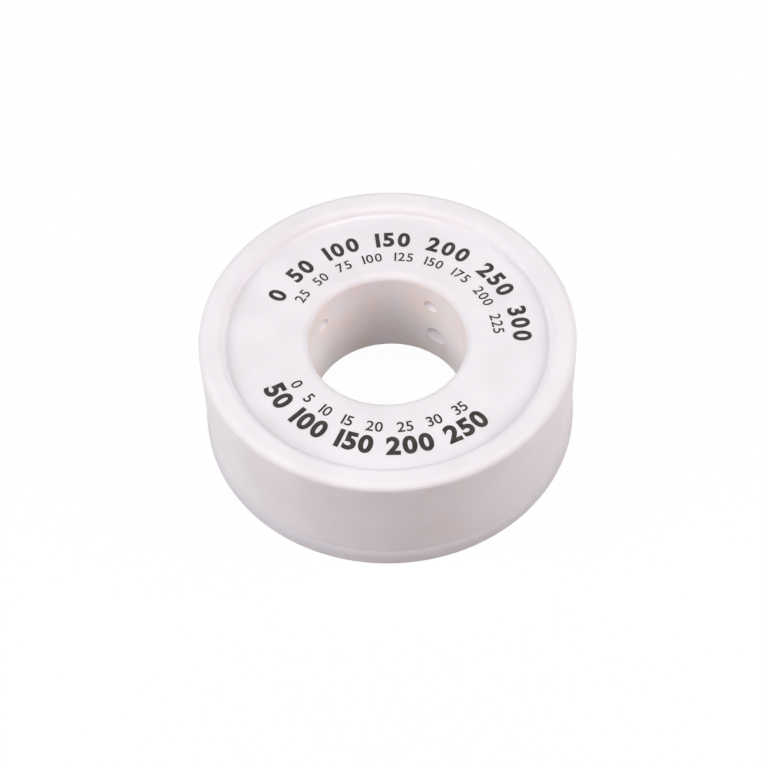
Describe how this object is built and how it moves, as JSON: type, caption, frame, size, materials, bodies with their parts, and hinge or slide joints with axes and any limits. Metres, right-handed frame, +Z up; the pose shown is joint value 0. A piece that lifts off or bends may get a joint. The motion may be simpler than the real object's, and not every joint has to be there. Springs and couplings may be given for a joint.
{
  "type": "thread seal tape roll",
  "caption": "White plastic roll of thread seal tape: a flanged spool holds the wound tape, and a skirted cover with a raised rim plugs into its hub round an open bore.",
  "frame": {"origin": "centre of the base, in the plane where the flange's rim rests", "axes": "+Z up along the roll's axis, from the flange to the printed face; +X to the right and +Y away from the viewer in the picture"},
  "size_m": [0.048, 0.048, 0.0169],
  "materials": {
    "spool_plastic": "moulded white polypropylene, soft gloss",
    "cover_plastic": "moulded white polypropylene, soft gloss, dark printed scale on the face",
    "print_ink": "dark printing ink on the cover's face",
    "ptfe_tape": "white unsintered film, matt"
  },
  "bodies": {
    "spool": {"spool": "spool_plastic", "tape_winding": "ptfe_tape"},
    "tape_end": {"tape_outer_lap": "ptfe_tape"},
    "cover": {"cover": "cover_plastic"}
  },
  "joints": [
    {"name": "cover_turn", "type": "hinge", "parent": "spool", "child": "tape_end", "pos_m": [0, 0, 0], "axis": [0, 0, 1], "continuous": true},
    {"name": "cover_lift", "type": "slide", "parent": "tape_end", "child": "cover", "axis": [0, 0, 1], "range_m": [0, 0.03]}
  ]
}
